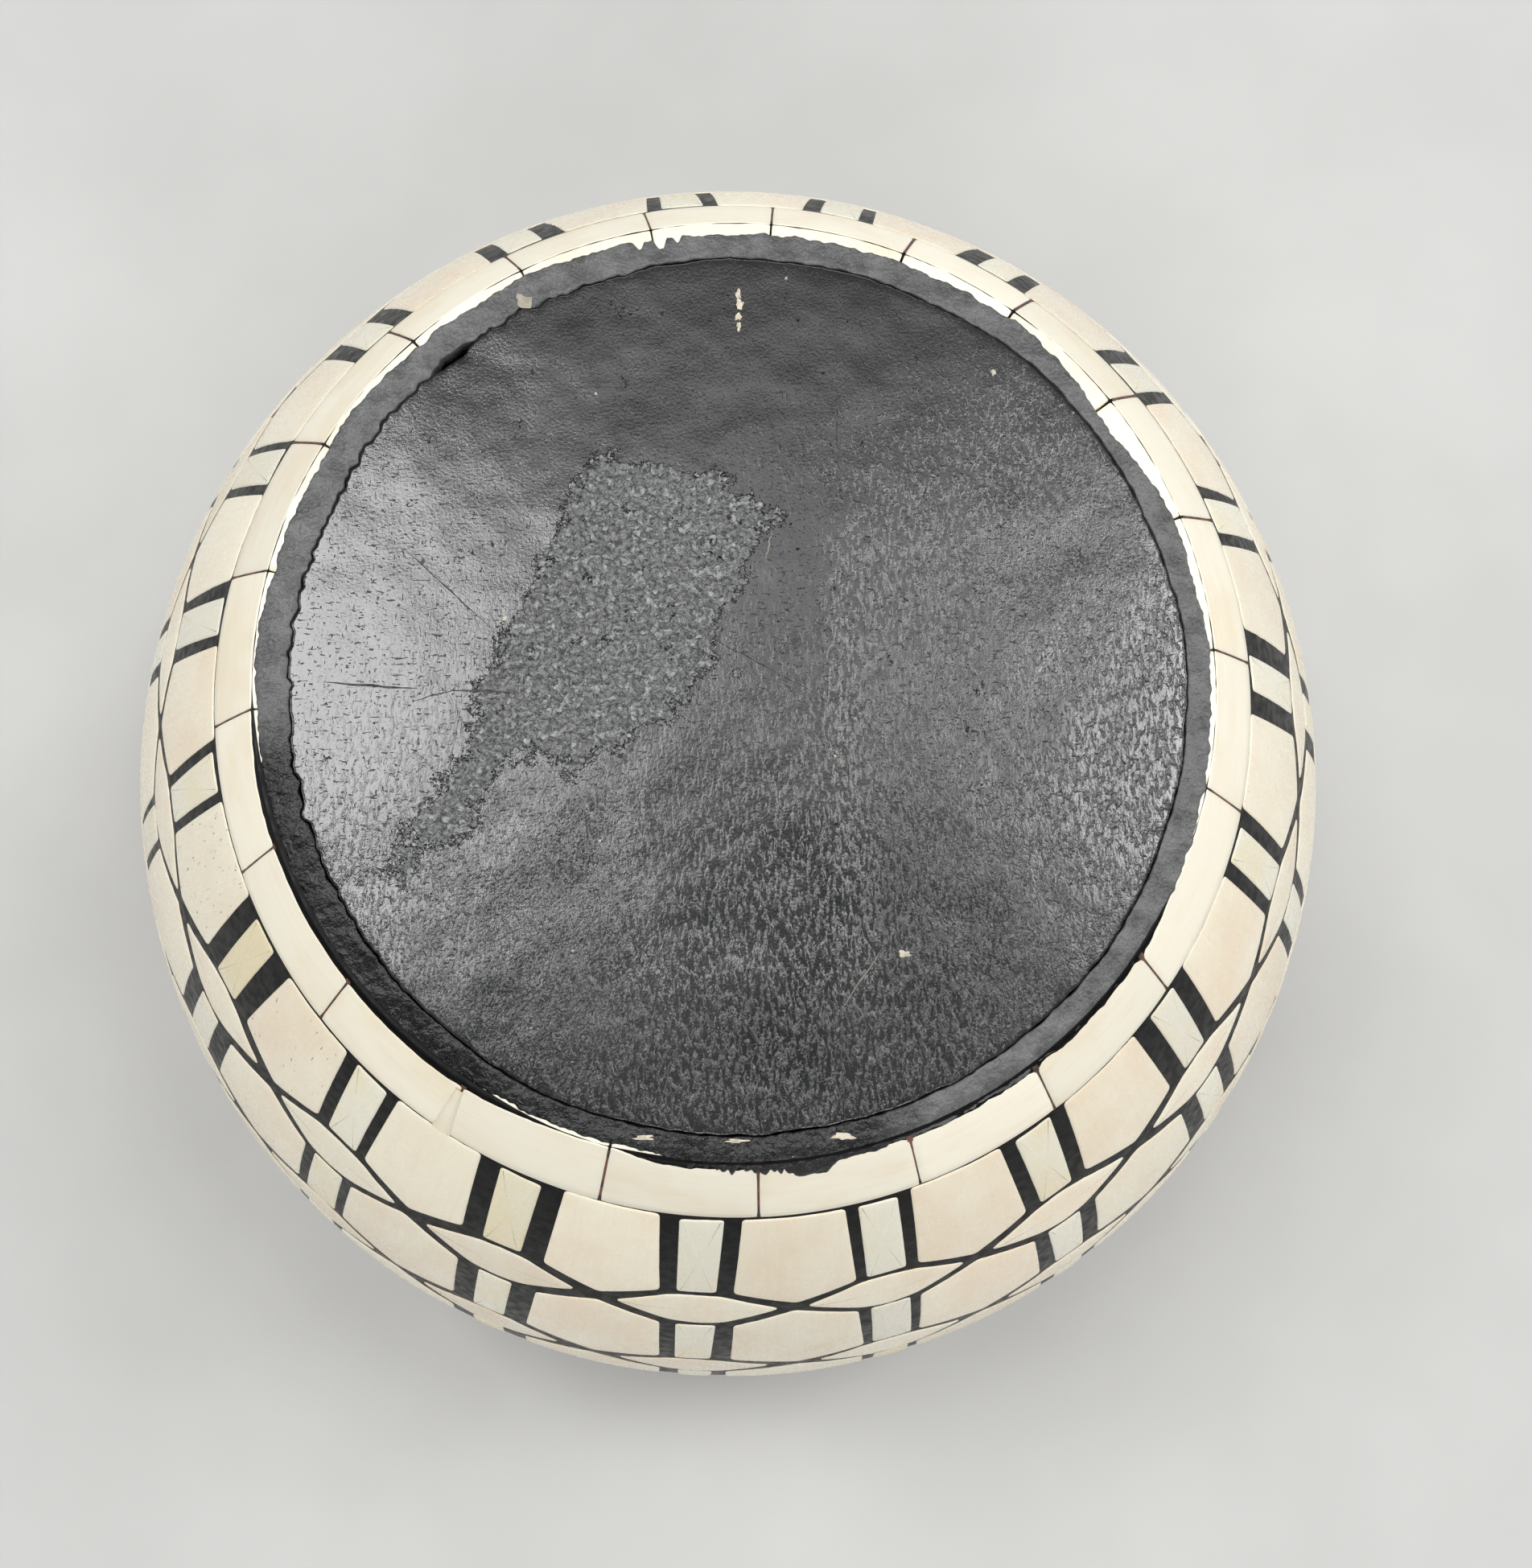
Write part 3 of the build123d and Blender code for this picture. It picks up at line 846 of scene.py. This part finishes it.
def disc_relief():
    """The disc let into the base, with the edge of its open joint."""
    disc = Builder()
    turns = 900
    shares = [k / 90 for k in range(2, 90)]
    rings = []
    for share in shares:
        ring = []
        for k in range(turns):
            angle = 2 * math.pi * k / turns
            radius = (crack_radius(angle) - crack_width(angle) - 0.5) * share
            x = radius * math.cos(angle)
            y = radius * math.sin(angle)
            patch = 0.5 + max(-0.5, min(0.5, signed_distance(x, y, RESIDUE) / 3.0))
            marks = (patch, 0.0, coarseness(x, y), 0.0)
            ring.append(disc.add(turned(radius, BASE_Z + base_height(x, y), angle), (x, y), marks))
        rings.append(ring)
    for back, drop in ((0.25, 0.0), (0.04, 0.02), (0.0, 0.1), (0.0, CRACK_DEPTH)):
        ring = []
        for k in range(turns):
            angle = 2 * math.pi * k / turns
            radius = crack_radius(angle) - crack_width(angle) - back
            x = radius * math.cos(angle)
            y = radius * math.sin(angle)
            height = BASE_Z + base_height(x, y) - drop
            ring.append(disc.add(turned(radius, height, angle), (x, y), (0.0, 0.0, coarseness(x, y), 0.0)))
        rings.append(ring)
    for first, second in zip(rings[:-1], rings[1:]):
        disc.strip(first, second, closed=True)
    centre = disc.add(turned(0, BASE_Z + base_height(0, 0), 0), (0, 0), (0.9, 0, 0, 0))
    disc.fan(list(reversed(rings[0])), centre)
    disc.build("painted_disc", PAINT, ["base_disc"])


PAINT_EDGE = [      # angle, radius at which the paint stops on the bone
    (0, 44.2), (20, 43.9), (33, 42.9), (50, 43.9), (90, 43.6), (120, 43.9), (150, 44.2), (185, 44.4),
    (200, 44.6), (216, 45.15), (235, 44.5), (258, 44.4), (270, 45.4), (320, 45.1), (340, 44.6), (360, 44.2),
]


def paint_edge(angle):
    """Radius at which the paint stops on the bone, ragged where the brush slipped."""
    degrees = math.degrees(angle) % 360
    for (first, low), (last, high) in zip(PAINT_EDGE[:-1], PAINT_EDGE[1:]):
        if first <= degrees <= last:
            radius = low + (high - low) * (degrees - first) / (last - first)
            break
    ragged = 0.30 * ripple(angle, 55, 31) + 0.26 * ripple(angle, 170, 32) + 0.16 * ripple(angle, 480, 33)
    teeth = 0.9 * abs(ripple(angle, 700, 34)) * sector(angle, 263, 275, 3)
    notch = 0.8 * sector(angle, 277, 280, 1.5)
    drips = 2.0 * max(0.0, ripple(angle, 240, 35)) * sector(angle, 98, 103, 2)
    return radius + ragged + teeth + notch - drips


def margin():
    """Painted wood between the open joint and the bone, its outer edge lapping on to the bone."""
    ring_paint = Builder()
    turns = 1800
    rings = []
    shares = [(0.0, CRACK_DEPTH), (0.0, 0.12), (0.015, 0.03), (0.06, 0.0), (0.2, 0.0), (0.35, 0.0),
              (0.5, 0.0), (0.65, 0.0), (0.8, 0.0), (0.92, 0.0), (0.985, 0.015), (1.0, 0.06), (1.0, 0.3)]
    for share, drop in shares:
        ring = []
        for k in range(turns):
            angle = 2 * math.pi * k / turns
            inner = crack_radius(angle) + crack_width(angle)
            outer = paint_edge(angle)
            radius = inner + (outer - inner) * share
            spot = Vector((radius * math.cos(angle), radius * math.sin(angle), 9))
            film = 0.02 + 0.035 * noise.noise(spot * 0.9) + 0.03 * noise.noise(spot * 0.3)
            worn = low_wear(angle) * share
            chatter = 0.07 * worn * ripple(angle, 420, 42) + 0.03 * share * ripple(angle, 620, 43)
            height = BASE_Z + film + chatter - edge_drop(radius, angle) - drop
            # painted shade, jet black, over the front left and front of the rim, where it turns from the
            # lamps
            dark = sector(angle, 192, 286, 8)
            ring.append(ring_paint.add(turned(radius, height, angle), spot.xy, (0.0, dark, 0.5, 0.0)))
        rings.append(ring)
    for first, second in zip(rings[:-1], rings[1:]):
        ring_paint.strip(first, second, closed=True)
    ring_paint.build("painted_margin", MARGIN, [])


SCRATCHES = [       # start, end, half width, pale
    ((-2.7, 3.3), (7.0, -2.0), 0.05, 0.0),
    ((-31.3, 11.6), (-22.9, 3.9), 0.06, 0.0),
    ((-37.9, -1.4), (-29.5, -1.9), 0.10, 0.0),
    ((-26.5, -2.0), (-20.5, -2.2), 0.10, 0.0),
    ((9.4, 28.8), (9.4, 18.3), 0.06, 0.0),
    ((-30.0, -3.1), (-26.0, -1.9), 0.05, 0.0),
    ((10.0, -7.0), (10.3, -10.5), 0.05, 0.0),
    ((9.2, -28.0), (9.6, -41.0), 0.06, 0.0),
    ((7.2, -30.0), (9.2, -36.5), 0.05, 0.0),
    ((13.2, -25.6), (9.6, -31.0), 0.05, 0.35),
    ((3.2, 13.5), (2.6, 10.6), 0.05, 0.5),
]
CHIPS = [           # place, half width, half length, pale
    ((0.0, 37.3), 0.30, 0.42, 1.0), ((0.1, 36.2), 0.34, 0.5, 1.0), ((-0.1, 35.0), 0.3, 0.45, 1.0),
    ((0.05, 34.0), 0.26, 0.4, 1.0), ((15.2, -26.2), 0.55, 0.35, 0.9), ((24.5, 29.6), 0.22, 0.32, 0.8),
    ((-20.7, 36.4), 0.8, 0.7, 0.6), ((-8.2, -42.5), 0.9, 0.2, 1.0), ((0.0, -42.8), 1.0, 0.15, 1.0),
    ((9.6, -42.4), 0.9, 0.3, 1.0), ((-13.6, 27.0), 0.14, 0.12, 0.7), ((6.2, 8.0), 0.16, 0.14, 0.0),
    ((-29.5, 10.2), 0.28, 0.22, 0.0), ((-23.0, 12.0), 0.15, 0.2, 0.0), ((34.4, -13.5), 0.12, 0.12, 0.0),
    ((18.0, -14.0), 0.1, 0.1, 0.0), ((-21.7, 4.8), 0.22, 0.2, 0.8), ((-14.8, -26.0), 0.12, 0.1, 0.8),
    ((-12.5, -16.0), 0.1, 0.1, 0.8), ((4.6, 39.0), 0.2, 0.12, 0.8), ((9.0, -8.0), 0.12, 0.1, 0.9),
]


MARK_LIFT = 0.03


def surface_spot(x, y, lift=MARK_LIFT):
    """A point on the painted base, a little above it, in metres."""
    return Vector((x, y, BASE_Z + base_height(x, y) + lift)) * MM


def scratches():
    marks_piece = Builder()
    for number, (start, end, half, pale) in enumerate(SCRATCHES):
        a = Vector(start)
        b = Vector(end)
        along = (b - a).normalized()
        across = Vector((-along.y, along.x))
        count = 18
        left = []
        right = []
        for k in range(count + 1):
            t = k / count
            wander = 0.14 * noise.noise(Vector((t * 6, number * 3.7, 0.5)))
            uneven = 0.8 + 0.5 * noise.noise(Vector((t * 9, number, 2)))
            width = half * (0.35 + math.sin(math.pi * t)) * uneven
            middle = a.lerp(b, t) + across * wander
            for side, row in ((width, left), (-width, right)):
                spot = middle + across * side
                row.append(marks_piece.add(surface_spot(spot.x, spot.y), spot, (0, 0, pale, 0)))
        marks_piece.strip(right, left)
    for number, (place, half_width, half_length, pale) in enumerate(CHIPS):
        ring = []
        count = 14
        for k in range(count):
            angle = 2 * math.pi * k / count
            around = Vector((1.6 * math.cos(angle), 1.6 * math.sin(angle), number * 1.9))
            reach = 1 + 0.9 * noise.noise(around)
            x = place[0] + half_width * reach * math.cos(angle)
            y = place[1] + half_length * reach * math.sin(angle)
            ring.append(marks_piece.add(surface_spot(x, y), (x, y), (0, 0, pale, 0)))
        top = surface_spot(*place, MARK_LIFT + 0.15 * half_width * pale)
        marks_piece.fan(ring, marks_piece.add(top, place, (0, 0, pale, 0)))
    marks_piece.build("scratches_and_chips", CHIPPED, [])


# ---- wooden wall --------------------------------------------------------------------------------
HOLLOW_SIDE = [(45.0, 0.0), (62.5, 41.0), (53.0, 75.0)]         # radius, height: an arc through three points
HOLLOW_CORNER = [(53.0, 75.0), (48.0, 83.5), (38.0, 88.0)]
SEAT_RADIUS = 41.2              # recess in the wall under the base disc
SEAT_DEPTH = 2.8
FAN_RADIUS = 2.0                # inside it, the wall's two flat faces close in a fan


def arc_through(points, count):
    """Points along the arc that starts at the first of three points and ends at the last."""
    (ax, ay), (bx, by), (cx, cy) = points
    scale = 2 * (ax * (by - cy) + bx * (cy - ay) + cx * (ay - by))
    a2, b2, c2 = ax * ax + ay * ay, bx * bx + by * by, cx * cx + cy * cy
    x = (a2 * (by - cy) + b2 * (cy - ay) + c2 * (ay - by)) / scale
    y = (a2 * (cx - bx) + b2 * (ax - cx) + c2 * (bx - ax)) / scale
    radius = math.dist((x, y), (ax, ay))
    start = math.atan2(ay - y, ax - x)
    end = math.atan2(cy - y, cx - x)
    if end < start:
        end += 2 * math.pi
    return [on_circle((x, y), radius, start + (end - start) * k / count) for k in range(count + 1)]


def turned_wall():
    """The wooden bowl itself: a seat for bone and filler outside, tool marks in the hollow."""
    wall = Builder()
    inside = arc_through(HOLLOW_SIDE, 150) + arc_through(HOLLOW_CORNER, 40)[1:]
    floor_radius, floor_z = HOLLOW_CORNER[-1]
    inside += [(floor_radius + (FAN_RADIUS - floor_radius) * k / 40, floor_z) for k in range(1, 41)]
    low = RIM_RUN + 0.4
    high = BASE_RUN + 2.0
    outside = [wall_point(low + (high - low) * k / 60, -SKIN - 0.1) for k in range(61)]
    mouth = HOLLOW_SIDE[0][0]
    lip = [(outside[0][0], 0.0), (mouth + 0.6, 0.0), (mouth + 0.2, 0.1)]
    seat_z = BASE_Z - SEAT_DEPTH
    section = [(FAN_RADIUS, seat_z), (SEAT_RADIUS, seat_z)] + list(reversed(outside)) + lip + inside
    turns = 240
    rings = []
    for place, (radius, z) in enumerate(section):
        ring = []
        hollow = place >= len(section) - len(inside) and 1.0 < z
        for k in range(turns):
            angle = 2 * math.pi * k / turns
            spot = Vector((math.cos(angle) * 0.6, math.sin(angle) * 0.6, (z + radius) * 1.1))
            cut = 0.07 * noise.noise(spot) if hollow else 0.0
            ring.append(wall.add(turned(radius + cut, z + cut, angle)))
        rings.append(ring)
    for first, second in zip(rings[:-1], rings[1:]):
        wall.strip(first, second, closed=True)
    wall.fan(list(reversed(rings[0])), wall.add(turned(0, seat_z, 0)))
    wall.fan(rings[-1], wall.add(turned(0, floor_z, 0)))
    wall.build("turned_wall", WOOD, ["wall_body"])


# ---- build the bowl -----------------------------------------------------------------------------
filler_skin()
bands()
bone_sliver()
glue_lines()
wide_tiles()
narrow_tiles()
diamond_tiles()
disc_relief()
margin()
scratches()
turned_wall()


# ---- studio -------------------------------------------------------------------------------------
LAMP_AIM = (0, 0, 0.08)         # all lamps point at the upper part of the bowl
SENSOR_WIDTH = 36.0
LENS = 40.6
CAMERA_PLACE = (-1.8, -38.8, 259.9)
CAMERA_RIGHT = (0.99962, 0.0, 0.02774)
CAMERA_AHEAD = (0.0273, 0.1732, -0.9845)


def floor():
    """A wide pale floor."""
    mesh = bpy.data.meshes.new("floor")
    reach = 8.0
    corners = [(-reach, -reach, 0), (reach, -reach, 0), (reach, reach, 0), (-reach, reach, 0)]
    mesh.from_pydata(corners, [], [(0, 1, 2, 3)])
    piece = bpy.data.objects.new("floor", mesh)
    bpy.context.collection.objects.link(piece)
    shader = Shader("pale_floor")
    speckle = shader.noise(shader.place(), 0.02, 3.0)
    color = shader.mix(shader.span(speckle, 0.3, 0.7), (0.50, 0.50, 0.49, 1), (0.54, 0.54, 0.53, 1))
    mesh.materials.append(shader.finish(color, 0.8))


def soft_light(name, place, size, power):
    """A white, rectangular soft box aimed at the bowl, with its place and size in metres."""
    data = bpy.data.lights.new(name, "AREA")
    data.shape = "RECTANGLE"
    data.size = size[0]
    data.size_y = size[1]
    data.energy = power
    lamp = bpy.data.objects.new(name, data)
    lamp.location = place
    aim = Vector(LAMP_AIM) - Vector(place)
    lamp.rotation_euler = aim.to_track_quat("-Z", "Y").to_euler()
    bpy.context.collection.objects.link(lamp)


def lights():
    """Two window-like boxes, left and right, one overhead, and soft fill from all four sides."""
    soft_light("window_left", (-0.37, 0.25, 1.08), (0.36, 0.52), 6.0)
    soft_light("window_right", (0.47, 0.24, 1.05), (0.26, 0.50), 5.0)
    soft_light("overhead", (0.03, 0.36, 1.20), (0.40, 0.30), 0.8)
    soft_light("left_fill", (-1.10, 0.10, 0.55), (0.5, 0.5), 2.6)
    soft_light("right_fill", (1.10, 0.20, 0.55), (0.5, 0.5), 3.6)
    soft_light("front_fill", (0.15, -1.0, 0.75), (0.9, 0.5), 5.8)
    soft_light("back_fill", (0.0, 1.20, 0.50), (0.9, 0.4), 2.2)
    world = bpy.data.worlds.new("studio")
    bpy.context.scene.world = world
    world.use_nodes = True
    world.node_tree.nodes["Background"].inputs["Color"].default_value = (1, 1, 1, 1)
    world.node_tree.nodes["Background"].inputs["Strength"].default_value = 0.17
    bpy.context.scene.view_settings.view_transform = "Standard"


def camera():
    """Looking down on the base from a little in front, with a slight roll."""
    data = bpy.data.cameras.new("camera")
    data.sensor_width = SENSOR_WIDTH
    data.lens = LENS
    data.clip_start = 0.01
    piece = bpy.data.objects.new("camera", data)
    right = Vector(CAMERA_RIGHT)
    ahead = Vector(CAMERA_AHEAD).normalized()
    right = (right - ahead * right.dot(ahead)).normalized()
    up = right.cross(ahead)
    x, y, z = (value * MM for value in CAMERA_PLACE)
    piece.matrix_world = Matrix((
        (right.x, up.x, -ahead.x, x),
        (right.y, up.y, -ahead.y, y),
        (right.z, up.z, -ahead.z, z),
        (0, 0, 0, 1),
    ))
    bpy.context.collection.objects.link(piece)
    bpy.context.scene.camera = piece


floor()
lights()
camera()
